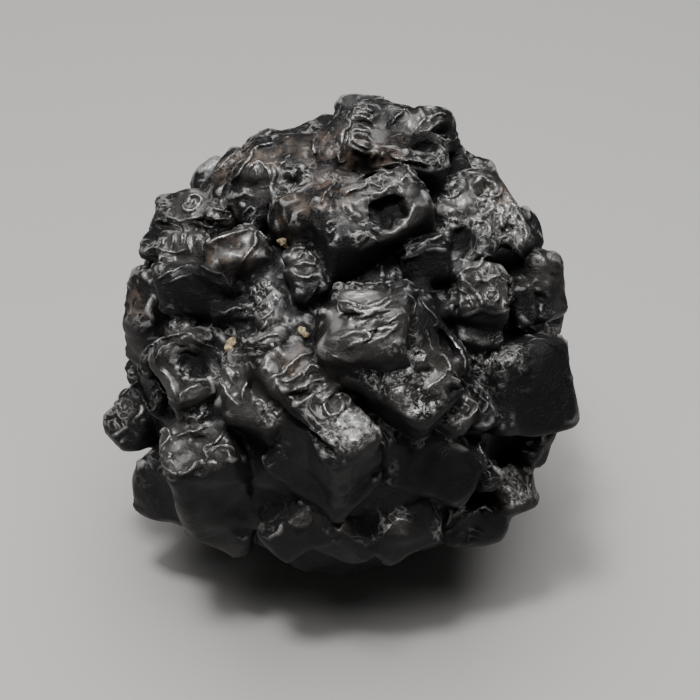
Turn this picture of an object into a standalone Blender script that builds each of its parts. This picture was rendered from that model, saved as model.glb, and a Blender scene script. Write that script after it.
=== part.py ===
"""A prophecy stone: one solid nodule of blocky iron-oxide crystals that grew outwards from a common core.

Units are metres, +Z is up, and the origin is on the flat end of the lowest crystal, on which the stone rests.
Sizes are written in millimetres and turned into metres by MM.
"""

import math
import random
from collections import namedtuple

import bmesh
import bpy
from mathutils import Matrix, Vector
from mathutils.bvhtree import BVHTree

MM = 0.001
WELD = 0.00001
CRYSTAL_TRIANGLES = 4450
CORE_FINENESS = 3
PIT_FINENESS = 2

# Driving dimensions
STONE_ACROSS = 52.0
CORE_RADIUS = 0.415 * STONE_ACROSS
BELLY_RADIUS = 0.432 * STONE_ACROSS
BELLY_SHIFT = (0.0, -1.6, -2.4)
CENTRE_HEIGHT = 0.487 * STONE_ACROSS
EDGE_CHAMFER = 0.75
MOST_CHAMFER = 0.2
OUTER_TAPER = 0.90
RIDGE_END = 0.5

# A chamfer takes no more than MOST_CHAMFER of its block's width. OUTER_TAPER is how wide a block's outer end
# is, and RIDGE_END how thick a ridge is at its ends, as a share of the rest.

# How far corners stray from a true block, as a share of its width, and how rough the core is in the gaps
CORNER_STRAY = 0.06
CORE_STRAY = 0.9
SEED = 5

# The flat on which the stone rests is the end of one crystal that points straight down.
FOOT_SIZE = (14.0, 12.5, 12.0)
FOOT_TURN = 20.0
FOOT_OVERSHOOT = 0.4
FLAT_BLOCK = 80.0

# A growth is a set of crystals spread evenly over the ball, or over the part of it that turns away from the
# viewer by shares from least to most. Where it comes near the drawing's edge it drops back, so as not to show.
Growth = namedtuple("Growth", "name spread least most reach edge_drop long wide deep")

FAR_SIDE = Growth("hidden", 92, -1.0, 0.12, (24.0, 26.0), 2.6, (8.0, 13.0), (5.5, 8.5), 10.0)
RING = Growth("ring", 120, -0.52, 0.06, (22.9, 24.1), 0.0, (4.5, 7.5), (3.2, 5.0), 6.0)
GROWTH_LEAN = 15.0
DRAWING_EDGE_FACING = -0.45
FOOT_CLEARANCE = -0.93

# The front of the stone is laid out on a drawing that faces a viewer at this height and distance.
VIEW_ELEVATION = math.radians(35.0)
VIEW_DISTANCE = 200.0
DRAWING_CENTRE = (345.0, 335.0)
DRAWING_PER_MM = 472.0 / STONE_ACROSS

RIGHT = Vector((1.0, 0.0, 0.0))
UP = Vector((0.0, math.sin(VIEW_ELEVATION), math.cos(VIEW_ELEVATION)))
TO_VIEWER = Vector((0.0, -math.cos(VIEW_ELEVATION), math.sin(VIEW_ELEVATION)))

# A crystal is a block whose outer face is centred under a spot of the drawing, at its reach from the stone's
# centre. The face is turned to the right and up from the viewer by two angles, in degrees, and its long edge
# runs at an angle as drawn.
Crystal = namedtuple("Crystal", "name spot reach right up runs long wide deep")

FRONT_CRYSTALS = (
    Crystal("crown", (401, 127), 27.0, 3, 39, -7, 12.4, 9.0, 12.0),
    Crystal("crown_tip", (362, 102), 26.6, -4, 50, -3, 6.6, 4.0, 8.0),
    Crystal("crown_right", (451, 150), 26.0, 38, 12, -66, 8.0, 5.0, 10.0),
    Crystal("crown_slope", (333, 131), 25.9, -33, 42, 56, 8.5, 6.0, 10.0),
    Crystal("brow", (373, 203), 26.2, 6, 33, 23, 13.0, 8.0, 11.0),
    Crystal("brow_shoulder", (316, 190), 25.0, -14, 45, 35, 9.5, 6.0, 9.0),
    Crystal("saddle_lump", (287, 214), 24.0, -6, 30, 20, 4.2, 3.0, 6.0),
    Crystal("shoulder_high", (277, 151), 25.6, -14, 48, -2, 9.5, 7.7, 10.0),
    Crystal("shoulder_edge", (222, 168), 25.4, -38, 30, 55, 7.0, 5.0, 8.0),
    Crystal("shoulder_low", (262, 188), 24.4, -12, 30, 30, 6.5, 5.0, 8.0),
    Crystal("shoulder_chip", (286, 180), 24.6, 5, 20, 80, 4.0, 2.4, 6.0),
    Crystal("ear_top", (190, 205), 25.3, -18, 36, 5, 9.6, 5.4, 7.0),
    Crystal("ear_middle", (172, 243), 25.3, -28, 15, -3, 9.6, 3.6, 8.0),
    Crystal("ear_fold", (235, 248), 24.5, 0, 22, 15, 7.5, 5.5, 8.0),
    Crystal("ear_fold_low", (220, 279), 24.4, 15, 0, -45, 5.4, 2.5, 6.0),
    Crystal("dark_block", (193, 295), 25.0, -10, -18, -4, 9.2, 5.8, 8.0),
    Crystal("left_facet", (134, 299), 25.9, -48, 8, 76, 7.4, 5.2, 8.0),
    Crystal("left_low", (138, 345), 24.6, -50, -15, 80, 5.5, 6.0, 8.0),
    Crystal("round_one", (182, 368), 25.7, -15, 14, 22, 6.8, 6.8, 8.0),
    Crystal("round_ridge", (190, 330), 24.3, -10, 35, -25, 6.0, 2.5, 6.0),
    Crystal("round_rim", (148, 360), 24.4, -45, 10, 65, 4.0, 2.2, 6.0),
    Crystal("lens", (150, 400), 24.5, -40, 5, 80, 3.6, 2.0, 6.0),
    Crystal("knob", (119, 417), 25.8, -48, 0, 65, 6.6, 5.5, 8.0),
    Crystal("lower_left", (197, 441), 26.3, -14, 32, 14, 8.8, 7.4, 13.0),
    Crystal("lower_left_chip", (203, 407), 24.6, 0, 20, 40, 4.0, 3.0, 6.0),
    Crystal("low_left_corner", (158, 498), 27.1, -36, -22, 84, 7.6, 7.2, 10.0),
    Crystal("folded_left", (233, 372), 25.0, -12, 18, 78, 7.0, 3.2, 8.0),
    Crystal("folded_tongue", (258, 407), 25.4, 0, 22, -28, 6.0, 3.0, 8.0),
    Crystal("folded_top", (262, 340), 24.5, 0, 30, 12, 5.5, 3.5, 8.0),
    Crystal("slab", (318, 402), 26.2, 4, 24, -45, 14.5, 6.6, 12.0),
    Crystal("slab_head", (283, 362), 25.7, -2, 28, 33, 6.0, 5.0, 9.0),
    Crystal("gap_lump", (270, 308), 22.8, 0, 20, 50, 4.5, 3.5, 6.0),
    Crystal("gap_bar", (229, 308), 23.6, 0, 25, 0, 4.2, 2.0, 6.0),
    Crystal("nose_back", (372, 289), 25.2, 0, 58, 2, 9.0, 3.6, 7.0),
    Crystal("nose_top", (360, 325), 26.7, -3, 28, 4, 9.8, 7.0, 12.0),
    Crystal("nose_front", (402, 379), 26.4, 4, 2, -38, 11.4, 7.4, 11.0),
    Crystal("nose_flank", (437, 340), 25.3, 32, 8, -58, 9.5, 6.0, 10.0),
    Crystal("nose_tip", (462, 412), 25.5, 25, 5, 50, 4.5, 3.5, 8.0),
    Crystal("hollow_lump", (304, 272), 23.8, -8, 18, -60, 5.0, 4.0, 7.0),
    Crystal("hollow_chip", (303, 250), 24.0, -4, 30, -25, 4.2, 2.0, 6.0),
    Crystal("wedge", (430, 268), 24.4, 4, -20, 10, 5.2, 4.6, 7.0),
    Crystal("wedge_low", (432, 303), 24.0, 10, 10, -45, 5.2, 3.0, 6.0),
    Crystal("right_upper", (498, 205), 26.2, 27, 27, -64, 10.8, 7.2, 10.0),
    Crystal("throat_high", (456, 205), 24.4, 18, 28, -20, 3.8, 3.4, 7.0),
    Crystal("throat_low", (462, 238), 23.8, 15, 5, -80, 5.5, 3.5, 7.0),
    Crystal("cracked", (485, 288), 25.7, 20, 18, -8, 6.4, 6.6, 9.0),
    Crystal("cracked_ledge", (483, 332), 24.4, 15, 25, -2, 5.0, 2.0, 7.0),
    Crystal("right_knob", (537, 228), 26.4, 46, 14, 88, 4.6, 3.6, 8.0),
    Crystal("right_edge", (557, 283), 26.8, 50, 6, -80, 7.6, 4.4, 8.0),
    Crystal("right_hollow", (527, 302), 24.6, 38, 5, -60, 5.0, 4.0, 7.0),
    Crystal("right_block", (543, 387), 27.5, 29, -6, 96, 9.6, 10.0, 11.0),
    Crystal("right_gap", (487, 368), 23.6, 15, 0, -80, 6.0, 3.0, 7.0),
    Crystal("right_seam", (481, 405), 25.0, 22, 0, -64, 5.5, 3.0, 8.0),
    Crystal("low_right", (520, 487), 26.7, 24, 12, -74, 5.6, 5.0, 9.0),
    Crystal("low_right_streak", (483, 468), 25.2, 12, 5, -48, 5.5, 2.4, 7.0),
    Crystal("low_right_edge", (546, 449), 26.6, 42, -12, 75, 5.0, 4.0, 8.0),
    Crystal("under_slab", (320, 475), 24.8, -6, -22, -40, 12.0, 8.0, 8.0),
    Crystal("under_nose", (440, 470), 25.0, 12, -22, -20, 10.0, 8.0, 9.0),
    Crystal("low_left_front", (225, 505), 25.0, -20, -30, 10, 12.0, 8.0, 9.0),
    Crystal("low_front_a", (296, 537), 26.6, -10, -36, 22, 7.4, 6.4, 9.0),
    Crystal("low_front_b", (347, 548), 26.2, 4, -46, -24, 6.4, 6.6, 9.0),
    Crystal("low_front_c", (404, 540), 26.6, 6, -34, 30, 8.0, 6.2, 9.0),
    Crystal("low_front_d", (481, 529), 26.9, 22, -30, 4, 7.8, 5.6, 9.0),
    Crystal("low_front_e", (217, 538), 27.1, -22, -34, -26, 7.2, 6.0, 9.0),
)

# A ridge stands on the surface along a route of drawing spots. Its width is twice what stands proud.
Ridge = namedtuple("Ridge", "name wide route")

RIDGES = (
    Ridge("crown_step", 0.9, ((349, 117), (360, 109), (376, 112))),
    Ridge("crown_step", 0.8, ((350, 123), (362, 118), (376, 122))),
    Ridge("crown_step", 0.9, ((352, 138), (360, 131), (373, 134))),
    Ridge("crown_step", 1.0, ((350, 151), (358, 143), (369, 147))),
    Ridge("crown_step", 0.9, ((353, 158), (362, 152), (371, 155))),
    Ridge("crown_rib", 1.0, ((343, 152), (341, 140), (346, 129), (351, 119))),
    Ridge("crown_blade", 0.7, ((389, 125), (399, 116), (407, 109))),
    Ridge("crown_rim", 1.2, ((405, 140), (420, 134), (434, 124), (449, 118))),
    Ridge("crown_layer", 0.9, ((322, 152), (330, 136), (338, 118), (345, 104))),
    Ridge("brow_line", 1.0, ((343, 200), (350, 189), (363, 187), (371, 181), (386, 181), (399, 184))),
    Ridge("brow_line", 1.0, ((360, 194), (372, 193), (379, 196), (390, 190), (401, 183))),
    Ridge("brow_line", 0.8, ((356, 184), (362, 176), (376, 173), (390, 173), (397, 177))),
    Ridge("brow_line", 0.9, ((372, 168), (385, 167), (400, 163), (411, 173), (423, 186), (431, 197))),
    Ridge("brow_layer", 0.7, ((321, 205), (328, 194), (336, 184), (345, 175))),
    Ridge("shoulder_layer", 1.1, ((206, 181), (221, 165), (240, 151), (262, 141), (290, 140))),
    Ridge("shoulder_layer", 0.9, ((243, 178), (246, 164), (257, 152), (270, 147))),
    Ridge("shoulder_crest", 1.1, ((281, 163), (275, 172), (277, 182), (272, 192), (274, 212))),
    Ridge("ear_ring", 1.0, ((200, 193), (189, 196), (184, 205), (188, 214), (201, 217))),
    Ridge("ear_ring", 0.9, ((232, 204), (222, 205), (210, 211), (213, 218), (227, 219))),
    Ridge("ear_rung", 0.8, ((167, 235), (163, 247))),
    Ridge("ear_rung", 0.8, ((183, 238), (179, 251))),
    Ridge("ear_rung", 0.8, ((195, 233), (190, 245), (192, 254))),
    Ridge("ear_fold_edge", 1.1, ((205, 252), (214, 240), (231, 235), (247, 228), (262, 222))),
    Ridge("ear_fold_rib", 1.0, ((254, 228), (256, 238), (253, 249))),
    Ridge("ear_fold_foot", 1.2, ((202, 262), (210, 270), (220, 279), (228, 289), (236, 296))),
    Ridge("round_rim_line", 1.2, ((149, 363), (158, 350), (170, 341), (185, 337), (200, 341), (216, 353))),
    Ridge("round_lip", 1.1, ((163, 373), (170, 382), (178, 397), (190, 392), (199, 385))),
    Ridge("lower_left_line", 1.0, ((162, 452), (168, 464), (180, 473), (190, 467), (196, 460))),
    Ridge("lower_left_line", 1.0, ((187, 439), (196, 431), (206, 426))),
    Ridge("lower_left_line", 1.2, ((204, 466), (206, 453), (213, 443), (222, 434))),
    Ridge("lower_left_line", 0.9, ((212, 455), (222, 448), (234, 452))),
    Ridge("folded_rib", 1.0, ((249, 402), (244, 391), (247, 376), (252, 364))),
    Ridge("slab_head_edge", 1.1, ((270, 380), (284, 371), (297, 363), (304, 355), (313, 352))),
    Ridge("slab_rib", 0.9, ((301, 381), (306, 373), (317, 367), (322, 371))),
    Ridge("slab_rib", 1.1, ((282, 387), (298, 388), (314, 380), (328, 381), (337, 387))),
    Ridge("slab_rib", 1.1, ((293, 406), (308, 399), (322, 392), (333, 385))),
    Ridge("slab_ring", 0.9, ((325, 398), (323, 409), (330, 416), (341, 409), (347, 398))),
    Ridge("nose_band", 1.2, ((341, 307), (353, 309), (366, 314), (378, 306), (393, 301))),
    Ridge("nose_band", 1.1, ((362, 321), (374, 312), (388, 310), (400, 317))),
    Ridge("nose_band", 1.1, ((361, 340), (364, 332), (374, 325), (389, 321), (399, 320))),
    Ridge("nose_band", 1.1, ((348, 348), (361, 340), (374, 341), (388, 335), (397, 326))),
    Ridge("nose_band", 0.9, ((330, 341), (345, 339), (359, 336))),
    Ridge("nose_flank_edge", 1.0, ((424, 304), (438, 318), (451, 332), (461, 348), (464, 366))),
    Ridge("nose_flank_curl", 0.9, ((425, 309), (434, 313), (437, 321), (431, 328))),
    Ridge("nose_ledge", 1.2, ((400, 353), (411, 360), (420, 372), (421, 386))),
    Ridge("cracked_web", 0.9, ((461, 279), (473, 268), (485, 260), (491, 268), (497, 275), (480, 281))),
    Ridge("cracked_web", 0.9, ((472, 269), (478, 281), (467, 284), (458, 291))),
    Ridge("cracked_web", 0.9, ((470, 286), (477, 296), (485, 305), (495, 309), (497, 296), (484, 294))),
    Ridge("cracked_web", 0.8, ((497, 275), (507, 272), (511, 284), (511, 297), (504, 303))),
    Ridge("right_upper_rim", 1.1, ((503, 203), (512, 205), (519, 215), (525, 230), (526, 244))),
    Ridge("right_upper_lip", 1.1, ((499, 239), (509, 240), (516, 250), (523, 257))),
    Ridge("right_upper_knot", 1.2, ((476, 182), (486, 181), (494, 189), (497, 197))),
    Ridge("right_upper_knot", 1.2, ((479, 222), (487, 214), (492, 206), (501, 196))),
    Ridge("right_upper_knot", 1.1, ((484, 236), (494, 231), (503, 223), (510, 213))),
    Ridge("right_block_edge", 1.0, ((513, 333), (531, 337), (550, 346), (570, 353))),
    Ridge("low_right_curl", 1.1, ((501, 469), (510, 470), (518, 479), (519, 497))),
    Ridge("low_right_rib", 1.0, ((500, 485), (508, 493), (516, 505))),
    Ridge("low_right_rib", 1.0, ((526, 472), (529, 486), (529, 501))),
)

# A pit is an egg-shaped hollow, centred on the surface under a spot. Its long way runs at an angle as drawn.
Pit = namedtuple("Pit", "name spot runs long wide deep")

PITS = (
    Pit("crown_pit", (446, 128), 14, 2.6, 1.3, 1.5),
    Pit("crown_hollow", (424, 147), 12, 3.6, 1.9, 1.3),
    Pit("crown_side_pit", (455, 165), 60, 2.4, 1.5, 1.2),
    Pit("brow_pit", (388, 210), 18, 4.4, 3.0, 1.5),
    Pit("shoulder_pit", (232, 172), 70, 1.5, 0.8, 0.9),
    Pit("ear_slot", (211, 219), -8, 3.2, 0.8, 1.2),
    Pit("round_hollow", (194, 364), -20, 3.8, 2.6, 1.2),
    Pit("folded_groove", (240, 350), 82, 5.0, 0.6, 1.0),
    Pit("slab_hollow", (300, 394), 30, 2.6, 0.9, 0.7),
    Pit("nose_hollow", (350, 316), -4, 2.6, 0.8, 0.9),
    Pit("nose_pit", (381, 330), 24, 2.4, 1.0, 0.8),
    Pit("nose_side_pit", (429, 371), -10, 2.0, 1.0, 1.0),
    Pit("nose_flank_pit", (449, 345), -60, 3.2, 1.2, 1.2),
    Pit("right_upper_pit", (511, 229), 0, 1.5, 1.3, 1.0),
    Pit("right_edge_pit", (541, 297), -35, 1.9, 1.0, 1.2),
)


def under(spot, reach):
    """The point at this reach from the stone's centre that lies under a spot of the drawing."""
    eye = TO_VIEWER * VIEW_DISTANCE
    ray = sight_line(spot)
    nearest = -eye.dot(ray)
    missed_by = (eye + ray * nearest).length
    before_nearest = math.sqrt(max(reach**2 - missed_by**2, 0.0))
    return eye + ray * (nearest - before_nearest)


def sight_line(spot):
    """The direction in which the viewer looks at a spot of the drawing."""
    across = (spot[0] - DRAWING_CENTRE[0]) / DRAWING_PER_MM
    above = (DRAWING_CENTRE[1] - spot[1]) / DRAWING_PER_MM
    return (RIGHT * across + UP * above - TO_VIEWER * VIEW_DISTANCE).normalized()


def drawn_axes(face, runs):
    """The rotation that turns Z to where a face looks, and X along it to an angle as drawn."""
    drawn = RIGHT * math.cos(math.radians(runs)) + UP * math.sin(math.radians(runs))
    towards_viewer = TO_VIEWER.dot(face)
    along = (drawn - TO_VIEWER * drawn.dot(face) / towards_viewer).normalized()
    return Matrix((along, face.cross(along), face)).transposed()


def face_direction(right, up):
    """Where a face looks that is turned to the right and up from the viewer."""
    right = math.radians(right)
    up = math.radians(up)
    level = RIGHT * math.sin(right) + TO_VIEWER * math.cos(right)
    return level * math.cos(up) + UP * math.sin(up)


def keep_as_tool(tool, collection):
    """Marks an object as one that only shapes the stone."""
    tool.hide_render = True
    tool.display_type = "WIRE"
    collection.objects.link(tool)


def place_in_stone(shape):
    """Takes a shape from millimetres about the stone's centre to its place in metres."""
    bmesh.ops.translate(shape, verts=shape.verts, vec=Vector((0.0, 0.0, CENTRE_HEIGHT)))
    bmesh.ops.scale(shape, verts=shape.verts, vec=Vector((MM, MM, MM)))


def object_from(shape, name):
    """A new object that takes over a finished shape."""
    mesh = bpy.data.meshes.new(name)
    bmesh.ops.recalc_face_normals(shape, faces=shape.faces)
    shape.to_mesh(mesh)
    shape.free()
    return bpy.data.objects.new(name, mesh)


def add_block(name, outer_centre, turn, size, chance, collection):
    """One chamfered crystal, a little narrower at its outer face, whose corners stray from a true block."""
    long, wide, deep = size
    shape = bmesh.new()
    bmesh.ops.create_cube(shape, size=1.0)
    stray = CORNER_STRAY * min(long, wide)
    for corner in shape.verts:
        outer = corner.co.z > 0
        share = OUTER_TAPER if outer else 1.0
        below = 0.0 if outer else deep
        place = Vector((corner.co.x * long * share, corner.co.y * wide * share, -below))
        wander = Vector([chance.uniform(-stray, stray) for _ in range(3)])
        corner.co = outer_centre + turn @ (place + wander)
    shape.normal_update()
    chamfer = min(EDGE_CHAMFER, MOST_CHAMFER * wide)
    bmesh.ops.bevel(shape, geom=shape.edges[:], offset=chamfer, segments=1, affect="EDGES")
    place_in_stone(shape)
    keep_as_tool(object_from(shape, name), collection)


def add_front_crystals(chance, collection):
    for crystal in FRONT_CRYSTALS:
        face = face_direction(crystal.right, crystal.up)
        turn = drawn_axes(face, crystal.runs)
        size = (crystal.long, crystal.wide, crystal.deep)
        outer_centre = under(crystal.spot, crystal.reach)
        add_block(crystal.name, outer_centre, turn, size, chance, collection)


def even_directions(count):
    """Directions spread evenly over a ball, along a spiral that turns by the golden angle at each step."""
    golden_angle = math.pi * (3.0 - math.sqrt(5.0))
    for step in range(count):
        height = 1.0 - 2.0 * (step + 0.5) / count
        level = math.sqrt(1.0 - height**2)
        turned = step * golden_angle
        yield Vector((level * math.cos(turned), level * math.sin(turned), height))


def add_growth(growth, chance, collection):
    """Crystals like those of the front, where the drawing doesn't show the ball."""
    ways = [
        way
        for way in even_directions(growth.spread)
        if growth.least <= way.dot(TO_VIEWER) < growth.most and way.z > FOOT_CLEARANCE
    ]
    most_lean = math.radians(GROWTH_LEAN)
    for number, outwards in enumerate(ways):
        lean = Matrix.Rotation(chance.uniform(-most_lean, most_lean), 3, "X")
        tip = Matrix.Rotation(chance.uniform(-most_lean, most_lean), 3, "Y")
        spin = Matrix.Rotation(chance.uniform(0.0, math.pi), 3, "Z")
        turn = outwards.to_track_quat("Z", "Y").to_matrix() @ spin @ lean @ tip
        size = (chance.uniform(*growth.long), chance.uniform(*growth.wide), growth.deep)
        reach = chance.uniform(*growth.reach)
        if outwards.dot(TO_VIEWER) > DRAWING_EDGE_FACING:
            reach -= growth.edge_drop
        add_block(f"{growth.name}_{number:02d}", outwards * reach, turn, size, chance, collection)


def add_foot(chance, collection):
    """The crystal that points down, which reaches a little too low until the flat is cut."""
    turn = Matrix.Rotation(math.radians(FOOT_TURN), 3, "Z") @ Matrix.Rotation(math.pi, 3, "X")
    outer_centre = Vector((0.0, 0.0, -CENTRE_HEIGHT - FOOT_OVERSHOOT))
    add_block("foot", outer_centre, turn, FOOT_SIZE, chance, collection)


def rough_ball(name, radius, shift, chance):
    """A lumpy ball, which shows as rough ground in the gaps between the crystals."""
    shape = bmesh.new()
    bmesh.ops.create_icosphere(shape, subdivisions=CORE_FINENESS, radius=radius)
    for point in shape.verts:
        stray = chance.uniform(-CORE_STRAY, CORE_STRAY)
        point.co += point.co.normalized() * stray + Vector(shift)
    place_in_stone(shape)
    return object_from(shape, name)


def add_boolean(stone, name, operation, tools):
    """Joins or cuts with a whole collection. Where this many blocks cross, EXACT leaves open edges."""
    change = stone.modifiers.new(name, "BOOLEAN")
    change.operation = operation
    change.operand_type = "COLLECTION"
    change.collection = tools
    change.solver = "MANIFOLD"


def settle(stone):
    """Makes the shape that the stone's modifiers give its own mesh."""
    shaped = stone.evaluated_get(bpy.context.evaluated_depsgraph_get())
    mesh = bpy.data.meshes.new_from_object(shaped)
    stone.modifiers.clear()
    stone.data = mesh


def keep_outer_skin(stone):
    """Fills what is enclosed between crystals, by keeping only the largest connected surface."""
    shape = bmesh.new()
    shape.from_mesh(stone.data)
    waiting = set(shape.verts)
    skins = []
    while waiting:
        start = waiting.pop()
        skin = {start}
        edge_of_skin = [start]
        while edge_of_skin:
            point = edge_of_skin.pop()
            for edge in point.link_edges:
                other = edge.other_vert(point)
                if other in waiting:
                    waiting.remove(other)
                    skin.add(other)
                    edge_of_skin.append(other)
        skins.append(skin)
    outer = max(skins, key=len)
    inner = [point for skin in skins if skin is not outer for point in skin]
    bmesh.ops.delete(shape, geom=inner, context="VERTS")
    shape.to_mesh(stone.data)
    shape.free()


def make_triangles(stone):
    shape = bmesh.new()
    shape.from_mesh(stone.data)
    bmesh.ops.triangulate(shape, faces=shape.faces[:])
    shape.to_mesh(stone.data)
    shape.free()


def thin_out(stone):
    """Leaves out the slivers that crossing crystals leave along their seams."""
    fewer = stone.modifiers.new("thin out", "DECIMATE")
    fewer.ratio = CRYSTAL_TRIANGLES / len(stone.data.polygons)
    settle(stone)


def surface_of(stone):
    """The stone's surface as it is shaped so far, for laying ridges and pits on it."""
    return BVHTree.FromObject(stone, bpy.context.evaluated_depsgraph_get())


def surface_under(surface, spot):
    """The place on the surface that the viewer sees at a spot of the drawing, and where the surface looks."""
    eye = TO_VIEWER * VIEW_DISTANCE + Vector((0.0, 0.0, CENTRE_HEIGHT))
    place, normal, _, _ = surface.ray_cast(eye * MM, sight_line(spot))
    return place, normal


def add_ridge(ridge, surface, collection):
    """A four-sided rib along the route, half sunk in the surface. Spots past the stone's edge are skipped."""
    places = [surface_under(surface, spot)[0] for spot in ridge.route]
    places = [place for place in places if place is not None]
    curve = bpy.data.curves.new(ridge.name, "CURVE")
    curve.dimensions = "3D"
    curve.bevel_depth = 0.5 * ridge.wide * MM
    curve.bevel_resolution = 0
    curve.use_fill_caps = True
    spline = curve.splines.new("POLY")
    spline.points.add(len(places) - 1)
    for number, (point, place) in enumerate(zip(spline.points, places)):
        point.co = (*place, 1.0)
        point.radius = RIDGE_END if number in (0, len(places) - 1) else 1.0
    drawn = bpy.data.objects.new(ridge.name, curve)
    collection.objects.link(drawn)
    solid = drawn.evaluated_get(bpy.context.evaluated_depsgraph_get())
    shape = bmesh.new()
    shape.from_mesh(bpy.data.meshes.new_from_object(solid))
    bpy.data.objects.remove(drawn)
    bmesh.ops.remove_doubles(shape, verts=shape.verts, dist=WELD)
    keep_as_tool(object_from(shape, ridge.name), collection)


def add_pit(pit, surface, collection):
    place, normal = surface_under(surface, pit.spot)
    shape = bmesh.new()
    bmesh.ops.create_icosphere(shape, subdivisions=PIT_FINENESS, radius=1.0)
    half_size = Vector((0.5 * pit.long, 0.5 * pit.wide, pit.deep)) * MM
    bmesh.ops.scale(shape, verts=shape.verts, vec=half_size)
    bmesh.ops.rotate(shape, verts=shape.verts, cent=Vector(), matrix=drawn_axes(normal, pit.runs))
    bmesh.ops.translate(shape, verts=shape.verts, vec=place)
    keep_as_tool(object_from(shape, pit.name), collection)


def add_flat_cutter(collection):
    """A big block whose top is the plane on which the stone rests."""
    shape = bmesh.new()
    bmesh.ops.create_cube(shape, size=FLAT_BLOCK * MM)
    bmesh.ops.translate(shape, verts=shape.verts, vec=Vector((0.0, 0.0, -0.5 * FLAT_BLOCK * MM)))
    keep_as_tool(object_from(shape, "below_the_flat"), collection)


def iron_oxide():
    """Nearly black, faintly brown iron oxide with a polish from blown sand."""
    material = bpy.data.materials.new("iron_oxide")
    material.use_nodes = True
    surface = material.node_tree.nodes["Principled BSDF"]
    surface.inputs["Base Color"].default_value = (0.045, 0.038, 0.034, 1.0)
    surface.inputs["Roughness"].default_value = 0.35
    surface.inputs["Metallic"].default_value = 0.0
    return material


def new_collection(name):
    collection = bpy.data.collections.new(name)
    bpy.context.scene.collection.children.link(collection)
    return collection


def main():
    for existing in list(bpy.data.objects):
        bpy.data.objects.remove(existing)
    parts = new_collection("prophecy_stone")
    crystals = new_collection("crystals")
    ridges = new_collection("ridges")
    hollows = new_collection("hollows")

    chance = random.Random(SEED)
    add_front_crystals(chance, crystals)
    add_growth(FAR_SIDE, chance, crystals)
    add_foot(chance, crystals)
    keep_as_tool(rough_ball("belly", BELLY_RADIUS, BELLY_SHIFT, chance), crystals)
    stone = rough_ball("stone", CORE_RADIUS, (0.0, 0.0, 0.0), chance)
    add_growth(RING, chance, crystals)
    stone.data.materials.append(iron_oxide())
    parts.objects.link(stone)
    add_boolean(stone, "grown together", "UNION", crystals)
    settle(stone)
    keep_outer_skin(stone)
    make_triangles(stone)
    thin_out(stone)

    surface = surface_of(stone)
    for ridge in RIDGES:
        add_ridge(ridge, surface, ridges)
    for pit in PITS:
        add_pit(pit, surface, hollows)
    add_boolean(stone, "ridges", "UNION", ridges)
    add_boolean(stone, "pits", "DIFFERENCE", hollows)
    add_flat_cutter(hollows)
    settle(stone)
    keep_outer_skin(stone)
    make_triangles(stone)


main()
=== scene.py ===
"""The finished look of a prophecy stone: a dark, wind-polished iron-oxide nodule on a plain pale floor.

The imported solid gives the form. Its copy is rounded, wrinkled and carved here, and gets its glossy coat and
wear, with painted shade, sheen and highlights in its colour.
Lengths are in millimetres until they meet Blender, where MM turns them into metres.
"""

import math
from collections import namedtuple

import bpy
import numpy as np
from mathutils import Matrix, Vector, noise
from mathutils.bvhtree import BVHTree


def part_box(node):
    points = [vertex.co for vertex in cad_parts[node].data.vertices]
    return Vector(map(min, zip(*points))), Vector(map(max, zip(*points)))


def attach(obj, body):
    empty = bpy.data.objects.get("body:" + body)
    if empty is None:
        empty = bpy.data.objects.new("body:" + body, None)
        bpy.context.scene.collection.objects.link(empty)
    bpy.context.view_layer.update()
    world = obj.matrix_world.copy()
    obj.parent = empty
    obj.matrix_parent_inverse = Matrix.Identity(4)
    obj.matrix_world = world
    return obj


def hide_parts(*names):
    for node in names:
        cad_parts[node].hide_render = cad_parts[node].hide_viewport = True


MM = 0.001
WELD = 0.01 * MM

# The drawing that the stone's front is laid out on: it faces a viewer at this height and distance.
STONE_ACROSS = 52.0
CENTRE_HEIGHT = 0.487 * STONE_ACROSS
VIEW_ELEVATION = math.radians(35.0)
VIEW_DISTANCE = 200.0
DRAWING_CENTRE = (345.0, 335.0)
DRAWING_PER_MM = 472.0 / STONE_ACROSS
PICTURE_WIDTH = 700.0
SENSOR_WIDTH = 36.0

RIGHT = Vector((1.0, 0.0, 0.0))
UP = Vector((0.0, math.sin(VIEW_ELEVATION), math.cos(VIEW_ELEVATION)))
TO_VIEWER = Vector((0.0, -math.cos(VIEW_ELEVATION), math.sin(VIEW_ELEVATION)))
CENTRE = Vector((0.0, 0.0, CENTRE_HEIGHT))

# How finely the skin is worked, and how far its rounding bends it and eats into it
WORKING_VOXEL = 0.26
STONE_TRIANGLES = 195000
BEND_LENGTH = 5.0
BEND = 1.6
ROUNDING_PASSES = 5
ROUNDING_LOSS = 0.15

# A stroke narrower than the widest line is a line: it is drawn thinner, made glossy and painted bright as a
# highlight.
# Every stroke wavers a little off its route.
WIDEST_LINE = 0.85
LINE_THINNING = 0.8
LINE_WAVER = 1.6
WAVER_LENGTH = 7.0
CREST_SHARPNESS = 1.2
TAPER_START = 0.25
TAPER_RISE = 4.0
LONGEST_SPAN = 3.0

# The skin's own relief: its grain and height, the texture value that stays put, and the points that it moves
Relief = namedtuple("Relief", "name size height level group")
COBBLES = Relief("cobbles", 4.2, 1.5, 0.3, "hidden")
SWELLINGS = Relief("swellings", 4.5, 0.5, 0.5, "all_over")
GROWTH_FOLDS = Relief("growth folds", 2.4, 0.45, 0.5, "folded")
CRUMBS = Relief("crumbs", 0.9, 0.55, 0.55, "crumbly")
FOLD_DISTORTION = 2.2

# Where a share runs from 0 to 1: by how far the surface turns up or to the viewer, and by the random patches
TURNED_UP = (-0.1, 0.5)
VARNISH_AND_TOP_LIGHT = (0.1, 0.5)
FACING_VIEWER = (-0.3, 0.2)
PATCHY = (-0.25, 0.3)
PATCH_LENGTH = 6.0
PATCH_OFFSET = Vector((17.0, 5.0, 9.0))
PATCH_EDGE = (0.6, 1.0)

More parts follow.
